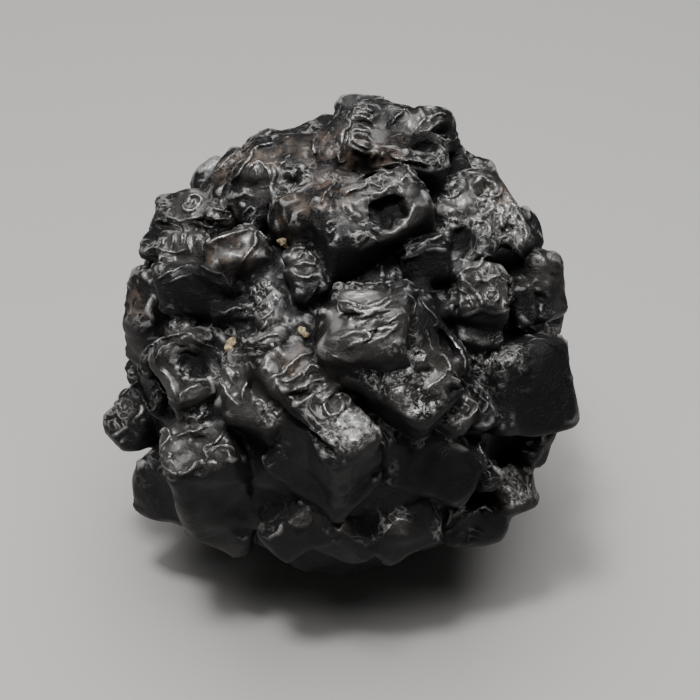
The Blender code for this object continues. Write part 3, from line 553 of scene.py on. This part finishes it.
def round_off(stone):
    """Turns the flat facets into an even, slightly crooked skin with soft edges."""
    skin = stone.modifiers.new("even skin", "REMESH")
    skin.mode = "VOXEL"
    skin.voxel_size = WORKING_VOXEL * MM
    crooked = bpy.data.textures.new("crooked", "CLOUDS")
    crooked.cloud_type = "COLOR"
    crooked.noise_scale = BEND_LENGTH * MM
    crooked.noise_depth = 1
    bend = stone.modifiers.new("crooked", "DISPLACE")
    bend.texture = crooked
    bend.texture_coords = "LOCAL"
    bend.direction = "RGB_TO_XYZ"
    bend.strength = BEND * MM
    bend.mid_level = 0.5
    soft = stone.modifiers.new("soft edges", "SMOOTH")
    soft.factor = 0.5
    soft.iterations = ROUNDING_PASSES
    fuller = stone.modifiers.new("make up for the rounding", "DISPLACE")
    fuller.strength = ROUNDING_LOSS * MM
    fuller.mid_level = 0.0
    apply_modifiers(stone)


def places_of(stone):
    places = np.empty(len(stone.data.vertices) * 3)
    stone.data.vertices.foreach_get("co", places)
    return places.reshape(-1, 3)


def directions_of(stone):
    directions = np.empty(len(stone.data.vertices) * 3)
    stone.data.vertex_normals.foreach_get("vector", directions)
    return directions.reshape(-1, 3)


def put_places(stone, places):
    stone.data.vertices.foreach_set("co", places.ravel())
    stone.data.update()


def smooth_step(low, high, values):
    share = np.clip((values - low) / (high - low), 0.0, 1.0)
    return share * share * (3.0 - 2.0 * share)


def weight_group(stone, name, weights, steps=24):
    """A vertex group that holds a weight for each point, rounded to a few steps."""
    group = stone.vertex_groups.new(name=name)
    levels = np.rint(weights * steps).astype(int)
    for level in range(1, steps + 1):
        members = np.flatnonzero(levels == level)
        if len(members):
            group.add(members.tolist(), level / steps, "REPLACE")


def wrinkle_texture(name, kind, size):
    texture = bpy.data.textures.new(name, kind)
    texture.noise_scale = size * MM
    return texture


def add_wrinkles(stone, relief, kind):
    """Moves the surface in and out by a texture of some kind, and gives the texture for finer settings."""
    texture = wrinkle_texture(relief.name, kind, relief.size)
    wrinkles = stone.modifiers.new(relief.name, "DISPLACE")
    wrinkles.texture = texture
    wrinkles.texture_coords = "LOCAL"
    wrinkles.strength = relief.height * MM
    wrinkles.mid_level = relief.level
    wrinkles.vertex_group = relief.group
    return texture


def store(stone, name, values):
    """Keeps a value at each point for the material to read."""
    attribute = stone.data.attributes.get(name) or stone.data.attributes.new(name, "FLOAT", "POINT")
    attribute.data.foreach_set("value", values.astype(np.float32))


def patch_weights(stone, patches):
    """How far each point lies within any of the patches, from 0 outside to 1 in the middle."""
    surface = BVHTree.FromObject(stone, bpy.context.evaluated_depsgraph_get())
    places = places_of(stone)
    weights = np.zeros(len(places))
    for patch in patches:
        middle = np.array(surface_under(surface, patch.spot))
        away = np.linalg.norm(places - middle, axis=1) / (0.5 * patch.across * MM)
        weights = np.maximum(weights, 1.0 - smooth_step(*PATCH_EDGE, away))
    return weights


def random_patches(stone):
    """A share for each point, from 0 to 1, that changes smoothly over the patches' length."""
    values = [noise.noise(Vector(place) / (PATCH_LENGTH * MM) + PATCH_OFFSET) for place in places_of(stone)]
    return smooth_step(*PATCHY, np.array(values))


def mark_weather_and_painted_light(stone):
    """Says for each point how weathered it is, and where shade, sheen and highlights are painted, as values for
    the material and as groups for the relief.
    """
    directions = directions_of(stone)
    up = smooth_step(*TURNED_UP, directions[:, 2])
    out_of_view = 1.0 - smooth_step(*FACING_VIEWER, directions @ np.array(TO_VIEWER))
    patchy = random_patches(stone)
    dull_and_shaded = patch_weights(stone, DULL_AND_PAINTED_SHADE)
    crumbly = np.maximum(patch_weights(stone, CRUMBLY), out_of_view * patchy * 0.8)
    store(stone, "varnish_and_top_light", smooth_step(*VARNISH_AND_TOP_LIGHT, directions[:, 2]))
    store(stone, "relief", (0.15 + 0.85 * up) * (0.4 + 0.6 * patchy))
    store(stone, "dull_and_shaded", dull_and_shaded)
    store(stone, "painted_glint_share", crumbly)
    store(stone, "satin", np.maximum(patch_weights(stone, SATIN_AND_PAINTED_SHEEN), out_of_view * patchy))
    store(stone, "brown", np.maximum(patch_weights(stone, BROWN), out_of_view * up * patchy))
    weight_group(stone, "all_over", np.full(len(up), 1.0))
    weight_group(stone, "folded", (0.2 + 0.8 * up) * (0.35 + 0.65 * patchy) * (1.0 - 0.8 * dull_and_shaded))
    weight_group(stone, "crumbly", crumbly)
    weight_group(stone, "hidden", out_of_view)


def wrinkle(stone):
    """The skin's own relief: cobbles out of view, broad swellings, growth folds and crumbly patches."""
    cobbles = add_wrinkles(stone, COBBLES, "VORONOI")
    cobbles.weight_1 = -1.0
    cobbles.weight_2 = 1.0
    swellings = add_wrinkles(stone, SWELLINGS, "CLOUDS")
    swellings.noise_depth = 0
    folds = add_wrinkles(stone, GROWTH_FOLDS, "DISTORTED_NOISE")
    folds.distortion = FOLD_DISTORTION
    folds.noise_distortion = "ORIGINAL_PERLIN"
    folds.noise_basis = "ORIGINAL_PERLIN"
    crumbs = add_wrinkles(stone, CRUMBS, "CLOUDS")
    crumbs.noise_depth = 1
    apply_modifiers(stone)


def smooth_route(route, per_span=6):
    """More spots on a smooth curve through those of a route."""
    spots = [Vector(spot) for spot in route]
    padded = [2 * spots[0] - spots[1]] + spots + [2 * spots[-1] - spots[-2]]
    for before, start, end, after in zip(padded, padded[1:], padded[2:], padded[3:]):
        for step in range(per_span):
            t = step / per_span
            yield 0.5 * (
                2 * start
                + (end - before) * t
                + (2 * before - 5 * start + 4 * end - after) * t**2
                + (3 * start - before - 3 * end + after) * t**3
            )
    yield spots[-1]


def nearness(places, path, reach):
    """How far each place is from a path, as a share of the reach, and how far along it, from 0 to 1."""
    nearest = np.full(len(places), np.inf)
    along = np.zeros(len(places))
    spans = len(path) - 1
    for number in range(spans):
        start = path[number]
        span = path[number + 1] - start
        length_squared = float(span @ span)
        if length_squared == 0.0 or length_squared > (LONGEST_SPAN * MM) ** 2:
            continue
        share = np.clip((places - start) @ span / length_squared, 0.0, 1.0)
        distance = np.linalg.norm(places - start - share[:, None] * span, axis=1) / reach
        closer = distance < nearest
        nearest[closer] = distance[closer]
        along[closer] = (number + share[closer]) / spans
    return nearest, along


def waver(spot):
    """Moves a spot a little off its smooth route, so that no line looks drawn with a pen."""
    here = Vector((spot.x, spot.y, 0.0)) / WAVER_LENGTH
    return spot + LINE_WAVER * Vector((noise.noise(here), noise.noise(here + Vector((31.0, 7.0, 3.0)))))


def stroke_path(stroke, surface):
    """The stroke's places on the surface. Spots that miss it are skipped."""
    places = [surface_under(surface, waver(spot)) for spot in smooth_route(stroke.route)]
    return np.array([place for place in places if place is not None])


def near_path(places, path, reach):
    """The numbers of the places that may lie within reach of a path."""
    low = path.min(axis=0) - reach
    high = path.max(axis=0) + reach
    return np.flatnonzero(np.all((places > low) & (places < high), axis=1))


def refine_along(stone, paths):
    """Cuts the skin's faces in four along the paths, so that it can hold fine lines."""
    places = places_of(stone)
    chosen = np.zeros(len(places), dtype=bool)
    for path, wide in paths:
        reach = (0.5 * wide + WORKING_VOXEL) * MM
        near = near_path(places, path, reach)
        distance, _ = nearness(places[near], path, reach)
        chosen[near[distance < 1.0]] = True
    choose(stone)
    bpy.ops.object.mode_set(mode="EDIT")
    bpy.ops.mesh.select_all(action="DESELECT")
    bpy.ops.mesh.select_mode(type="VERT")
    bpy.ops.object.mode_set(mode="OBJECT")
    stone.data.vertices.foreach_set("select", chosen)
    bpy.ops.object.mode_set(mode="EDIT")
    bpy.ops.mesh.select_mode(type="FACE")
    bpy.ops.mesh.subdivide(number_cuts=1)
    bpy.ops.object.mode_set(mode="OBJECT")


def carve(stone, strokes):
    """Raises sharp lines and presses grooves where the strokes run."""
    surface = BVHTree.FromObject(stone, bpy.context.evaluated_depsgraph_get())
    paths = [stroke_path(stroke, surface) for stroke in strokes]
    drawn = [(stroke, path) for stroke, path in zip(strokes, paths) if len(path) > 1]
    refine_along(stone, [(path, stroke.wide) for stroke, path in drawn])
    places = places_of(stone)
    directions = directions_of(stone)
    lift = np.zeros(len(places))
    line = np.zeros(len(places))
    for stroke, path in drawn:
        thinning = LINE_THINNING if stroke.wide < WIDEST_LINE else 1.0
        reach = 0.5 * stroke.wide * thinning * MM
        near = near_path(places, path, reach)
        distance, along = nearness(places[near], path, reach)
        crest = np.clip(1.0 - distance, 0.0, 1.0) ** CREST_SHARPNESS
        taper = np.clip(TAPER_RISE * np.minimum(along, 1.0 - along) + TAPER_START, 0.0, 1.0)
        lift[near] += crest * taper * stroke.tall * MM
        if stroke.tall > 0.0 and stroke.wide < WIDEST_LINE:
            line[near] = np.maximum(line[near], crest * taper)
    put_places(stone, places + directions * lift[:, None])
    store(stone, "line", line)


def thin_out(stone):
    fewer = stone.modifiers.new("thin out", "DECIMATE")
    faces = sum(len(face.vertices) - 2 for face in stone.data.polygons)
    fewer.ratio = min(1.0, STONE_TRIANGLES / faces)
    apply_modifiers(stone)


def keep_in_box(stone, low, high):
    """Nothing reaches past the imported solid's box, and so the stone still rests on its flat."""
    places = places_of(stone)
    put_places(stone, np.clip(places, np.array(low), np.array(high)))


def mark_crests(stone):
    """Gives each point a value from 0 in hollows to 1 on crests, which are worn bright."""
    places = places_of(stone)
    directions = directions_of(stone)
    edges = np.empty(len(stone.data.edges) * 2, dtype=int)
    stone.data.edges.foreach_get("vertices", edges)
    ends = np.concatenate((edges.reshape(-1, 2), edges.reshape(-1, 2)[:, ::-1]))
    count = np.bincount(ends[:, 0], minlength=len(places))
    blurred = places.copy()
    for _ in range(CREST_BLUR_PASSES):
        around = blurred[ends[:, 1]]
        totals = [np.bincount(ends[:, 0], around[:, axis], minlength=len(places)) for axis in range(3)]
        blurred = 0.5 * blurred + 0.5 * np.stack(totals, axis=1) / count[:, None]
    stands_out = np.einsum("ij,ij->i", places - blurred, directions) / (CREST_HEIGHT * MM)
    store(stone, "crest", np.clip(0.5 + 0.5 * stands_out, 0.0, 1.0))


def new_material(name):
    material = bpy.data.materials.new(name)
    material.use_nodes = True
    return material, material.node_tree.nodes, material.node_tree.links


def ramp(nodes, links, value, low, high):
    """A value spread from 0 at low to 1 at high."""
    spread = nodes.new("ShaderNodeMapRange")
    spread.interpolation_type = "SMOOTHSTEP"
    spread.inputs["From Min"].default_value = low
    spread.inputs["From Max"].default_value = high
    links.new(value, spread.inputs["Value"])
    return spread.outputs["Result"]


def noise_node(nodes, links, place, size, detail=2.0, distortion=0.0):
    """Noise of a grain size in millimetres."""
    texture = nodes.new("ShaderNodeTexNoise")
    texture.inputs["Scale"].default_value = 1.0 / (size * MM)
    texture.inputs["Detail"].default_value = detail
    texture.inputs["Distortion"].default_value = distortion
    links.new(place, texture.inputs["Vector"])
    return texture.outputs["Fac"]


def mix_colours(nodes, links, share, first, second):
    mix = nodes.new("ShaderNodeMix")
    mix.data_type = "RGBA"
    links.new(share, mix.inputs["Factor"])
    for socket, colour in ((mix.inputs[6], first), (mix.inputs[7], second)):
        if isinstance(colour, tuple):
            socket.default_value = (*colour, 1.0)
        else:
            links.new(colour, socket)
    return mix.outputs[2]


def mix_values(nodes, links, share, first, second):
    mix = nodes.new("ShaderNodeMix")
    mix.data_type = "FLOAT"
    links.new(share, mix.inputs["Factor"])
    for socket, value in ((mix.inputs["A"], first), (mix.inputs["B"], second)):
        if isinstance(value, float):
            socket.default_value = value
        else:
            links.new(value, socket)
    return mix.outputs["Result"]


def attribute_node(nodes, name):
    attribute = nodes.new("ShaderNodeAttribute")
    attribute.attribute_name = name
    return attribute.outputs["Fac"]


def bump_node(nodes, links, height, strength, distance, under=None):
    bump = nodes.new("ShaderNodeBump")
    bump.inputs["Strength"].default_value = strength
    bump.inputs["Distance"].default_value = distance * MM
    links.new(height, bump.inputs["Height"])
    if under is not None:
        links.new(under, bump.inputs["Normal"])
    return bump.outputs["Normal"]


def calculate(nodes, links, operation, first, second):
    """A Math node on two sockets or numbers."""
    result = nodes.new("ShaderNodeMath")
    result.operation = operation
    for socket, value in ((result.inputs[0], first), (result.inputs[1], second)):
        if isinstance(value, float):
            socket.default_value = value
        else:
            links.new(value, socket)
    return result.outputs["Value"]


def curls(nodes, links, place, size, width):
    """Thin winding lines, as along the creases of crumpled foil, from 0 beside a line to 1 on it."""
    value = noise_node(nodes, links, place, size, 3.0, 1.6)
    off_line = calculate(nodes, links, "SUBTRACT", value, 0.5)
    off_line = calculate(nodes, links, "ABSOLUTE", off_line, 0.0)
    line = nodes.new("ShaderNodeMapRange")
    line.inputs["From Min"].default_value = width
    line.inputs["From Max"].default_value = 0.0
    links.new(off_line, line.inputs["Value"])
    return line.outputs["Result"]


def shine_and_painted_highlights(nodes, links, place, broad_curls):
    """The share of bare, bright oxide, partly real shine and partly painted highlight: on creases, crests,
    carved lines and grains that face up, with painted glints on the grains.
    """
    cluster = ramp(nodes, links, noise_node(nodes, links, place, 5.0, 2.0), 0.5, 0.62)
    # painted highlight: bright winding lines, in clusters
    painted_curl_highlights = calculate(nodes, links, "MULTIPLY", cluster, 0.5)
    painted_curl_highlights = calculate(nodes, links, "MULTIPLY", broad_curls, painted_curl_highlights)
    worn = ramp(nodes, links, attribute_node(nodes, "crest"), 0.7, 1.0)
    worn = calculate(nodes, links, "MULTIPLY", worn, 0.55)
    uneven = ramp(nodes, links, noise_node(nodes, links, place, 0.9, 2.0), 0.3, 0.6)
    uneven = mix_values(nodes, links, uneven, 0.3, 1.0)
    line = ramp(nodes, links, attribute_node(nodes, "line"), 0.45, 0.95)
    # painted highlight: the carved lines are brightened
    painted_line_highlights = calculate(nodes, links, "MULTIPLY", uneven, line)
    # painted glints: bright specks in the crumbly places
    glints = ramp(nodes, links, noise_node(nodes, links, place, 0.5, 3.0, 0.8), 0.48, 0.68)
    glints = calculate(nodes, links, "MULTIPLY", glints, attribute_node(nodes, "painted_glint_share"))
    glints = calculate(nodes, links, "MULTIPLY", glints, 0.8)
    shine_and_highlight = calculate(nodes, links, "MAXIMUM", painted_curl_highlights, worn)
    shine_and_highlight = calculate(nodes, links, "MAXIMUM", shine_and_highlight, painted_line_highlights)
    shine_and_highlight = calculate(nodes, links, "MAXIMUM", shine_and_highlight, glints)
    # the painted highlights are kept to faces that turn up to the lamps
    return calculate(nodes, links, "MULTIPLY", shine_and_highlight, attribute_node(nodes, "varnish_and_top_light"))


def iron_oxide_material():
    material, nodes, links = new_material("iron_oxide")
    shader = nodes["Principled BSDF"]
    place = nodes.new("ShaderNodeTexCoord").outputs["Object"]
    dull_and_shaded = attribute_node(nodes, "dull_and_shaded")
    satin = attribute_node(nodes, "satin")
    relief = attribute_node(nodes, "relief")
    sunk = ramp(nodes, links, attribute_node(nodes, "crest"), 0.42, 0.15)
    speckle = ramp(nodes, links, noise_node(nodes, links, place, 1.6, 5.0, 0.5), 0.42, 0.62)
    broad_curls = curls(nodes, links, place, 2.6, 0.045)
    fine_curls = curls(nodes, links, place, 1.1, 0.075)
    shine_and_highlight = shine_and_painted_highlights(nodes, links, place, broad_curls)

    browned = calculate(nodes, links, "MULTIPLY", attribute_node(nodes, "brown"), speckle)
    # painted sheen: the glossy patches get a lighter colour
    base = mix_colours(nodes, links, satin, BARE_CRUST, PAINTED_SATIN_SHEEN)
    base = mix_colours(nodes, links, browned, base, BROWN_TINT)
    # painted highlights: the bright places get a light grey colour
    base = mix_colours(nodes, links, shine_and_highlight, base, OXIDE_SHINE_AND_HIGHLIGHT)
    # painted shade: the matte patches are darkened towards near-black
    base = mix_colours(nodes, links, dull_and_shaded, base, PAINTED_SHADE_BLACK)
    links.new(base, shader.inputs["Base Color"])
    lustre = calculate(nodes, links, "MULTIPLY", shine_and_highlight, LUSTRE)
    links.new(mix_values(nodes, links, dull_and_shaded, lustre, 0.0), shader.inputs["Metallic"])

    rough = mix_values(nodes, links, speckle, *CRUST_ROUGHNESS)
    rough = mix_values(nodes, links, shine_and_highlight, rough, POLISHED_ROUGHNESS)
    rough = mix_values(nodes, links, sunk, rough, SUNK_ROUGHNESS)
    rough = mix_values(nodes, links, dull_and_shaded, rough, DULL_ROUGHNESS)
    links.new(rough, shader.inputs["Roughness"])

    sheen = mix_values(nodes, links, speckle, *CRUST_SHEEN)
    sheen = mix_values(nodes, links, satin, sheen, SATIN_SHEEN)
    sheen = calculate(nodes, links, "MULTIPLY", sheen, attribute_node(nodes, "varnish_and_top_light"))
    sheen = mix_values(nodes, links, dull_and_shaded, sheen, 0.0)
    sheen = mix_values(nodes, links, sunk, sheen, SUNK_SHEEN)
    links.new(sheen, shader.inputs["Coat Weight"])
    shader.inputs["IOR"].default_value = 1.27
    shader.inputs["Coat Roughness"].default_value = 0.3
    shader.inputs["Coat IOR"].default_value = 1.8

    curled = calculate(nodes, links, "MULTIPLY", fine_curls, 0.6)
    curled = calculate(nodes, links, "MAXIMUM", broad_curls, curled)
    curled = calculate(nodes, links, "MULTIPLY", curled, relief)
    normal = bump_node(nodes, links, curled, 1.0, 0.12)
    grit = noise_node(nodes, links, place, 0.35, 4.0, 0.6)
    gritty = calculate(nodes, links, "MULTIPLY", grit, calculate(nodes, links, "ADD", relief, 0.3))
    normal = bump_node(nodes, links, gritty, 0.9, 0.14, normal)
    links.new(normal, shader.inputs["Normal"])
    return material


def sediment_material():
    material, nodes, links = new_material("dry_sediment")
    shader = nodes["Principled BSDF"]
    place = nodes.new("ShaderNodeTexCoord").outputs["Object"]
    specks = ramp(nodes, links, noise_node(nodes, links, place, 0.3, 3.0), 0.35, 0.65)
    links.new(mix_colours(nodes, links, specks, SEDIMENT_DARK, SEDIMENT_PALE), shader.inputs["Base Color"])
    shader.inputs["Roughness"].default_value = 0.9
    links.new(bump_node(nodes, links, specks, 0.6, 0.08), shader.inputs["Normal"])
    return material


def floor_material():
    material, nodes, _ = new_material("pale_floor")
    shader = nodes["Principled BSDF"]
    shader.inputs["Base Color"].default_value = (*FLOOR_GREY, 1.0)
    shader.inputs["Roughness"].default_value = 0.7
    return material


def make_grains(stone):
    """The few pale grains of dried sediment that stick in the seams."""
    surface = BVHTree.FromObject(stone, bpy.context.evaluated_depsgraph_get())
    lumpy = wrinkle_texture("lumpy", "CLOUDS", 0.5)
    grains = []
    for grain in GRAINS:
        deselect_all()
        bpy.ops.mesh.primitive_ico_sphere_add(
            subdivisions=3, radius=0.5 * grain.across * MM, location=surface_under(surface, grain.spot)
        )
        lump = bpy.context.object
        bpy.ops.object.transform_apply(location=True, rotation=False, scale=False)
        uneven = lump.modifiers.new("uneven", "DISPLACE")
        uneven.texture = lumpy
        uneven.texture_coords = "LOCAL"
        uneven.strength = 0.5 * grain.across * MM
        apply_modifiers(lump)
        grains.append(lump)
    deselect_all()
    for lump in grains:
        lump.select_set(True)
    bpy.context.view_layer.objects.active = grains[0]
    bpy.ops.object.join()
    bpy.ops.object.shade_smooth()
    sediment = bpy.context.object
    sediment.name = "sediment_grains"
    sediment.data.name = "sediment_grains"
    sediment.location = (0.0, 0.0, 0.0)
    sediment.data.materials.append(sediment_material())
    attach(sediment, "root")


def make_floor():
    bpy.ops.mesh.primitive_plane_add(size=FLOOR_ACROSS)
    floor = bpy.context.object
    floor.name = "floor"
    floor.data.materials.append(floor_material())


def aim(thing, target):
    way = target - thing.location
    thing.rotation_euler = way.to_track_quat("-Z", "Y").to_euler()


def add_softbox(softbox):
    light = bpy.data.lights.new(softbox.name, "AREA")
    light.shape = "RECTANGLE"
    light.size, light.size_y = softbox.size
    light.energy = softbox.power
    lamp = bpy.data.objects.new(softbox.name, light)
    bpy.context.scene.collection.objects.link(lamp)
    lamp.location = softbox.place
    aim(lamp, CENTRE * MM)


def light_studio():
    world = bpy.data.worlds.new("studio")
    bpy.context.scene.world = world
    world.use_nodes = True
    surround = world.node_tree.nodes["Background"]
    surround.inputs["Color"].default_value = (1.0, 1.0, 1.0, 1.0)
    surround.inputs["Strength"].default_value = SURROUND_LIGHT
    for softbox in SOFTBOXES:
        add_softbox(softbox)


def add_camera():
    lens = bpy.data.cameras.new("camera")
    camera = bpy.data.objects.new("camera", lens)
    bpy.context.scene.collection.objects.link(camera)
    picture_middle = 0.5 * PICTURE_WIDTH
    across = (picture_middle - DRAWING_CENTRE[0]) / DRAWING_PER_MM
    above = (DRAWING_CENTRE[1] - picture_middle) / DRAWING_PER_MM
    camera.location = (CENTRE + TO_VIEWER * VIEW_DISTANCE) * MM
    aim(camera, (CENTRE + RIGHT * across + UP * above) * MM)
    lens.sensor_width = SENSOR_WIDTH
    lens.lens = SENSOR_WIDTH * VIEW_DISTANCE * DRAWING_PER_MM / PICTURE_WIDTH
    bpy.context.scene.camera = camera


def make_stone():
    stone = blank_from("stone")
    low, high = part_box("stone")
    round_off(stone)
    mark_weather_and_painted_light(stone)
    wrinkle(stone)
    carve(stone, STROKES)
    thin_out(stone)
    keep_in_box(stone, low, high)
    mark_crests(stone)
    stone.vertex_groups.clear()
    stone.data.materials.clear()
    stone.data.materials.append(iron_oxide_material())
    choose(stone)
    bpy.ops.object.shade_smooth()
    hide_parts("stone")
    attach(stone, "root")
    return stone


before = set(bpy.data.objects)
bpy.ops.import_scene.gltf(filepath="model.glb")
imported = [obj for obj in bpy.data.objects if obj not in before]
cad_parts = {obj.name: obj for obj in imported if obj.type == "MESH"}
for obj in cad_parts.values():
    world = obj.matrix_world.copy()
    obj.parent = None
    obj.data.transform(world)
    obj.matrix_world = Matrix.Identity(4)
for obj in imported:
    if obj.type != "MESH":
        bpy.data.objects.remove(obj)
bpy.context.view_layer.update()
deselect_all()
make_grains(make_stone())
make_floor()
light_studio()
add_camera()
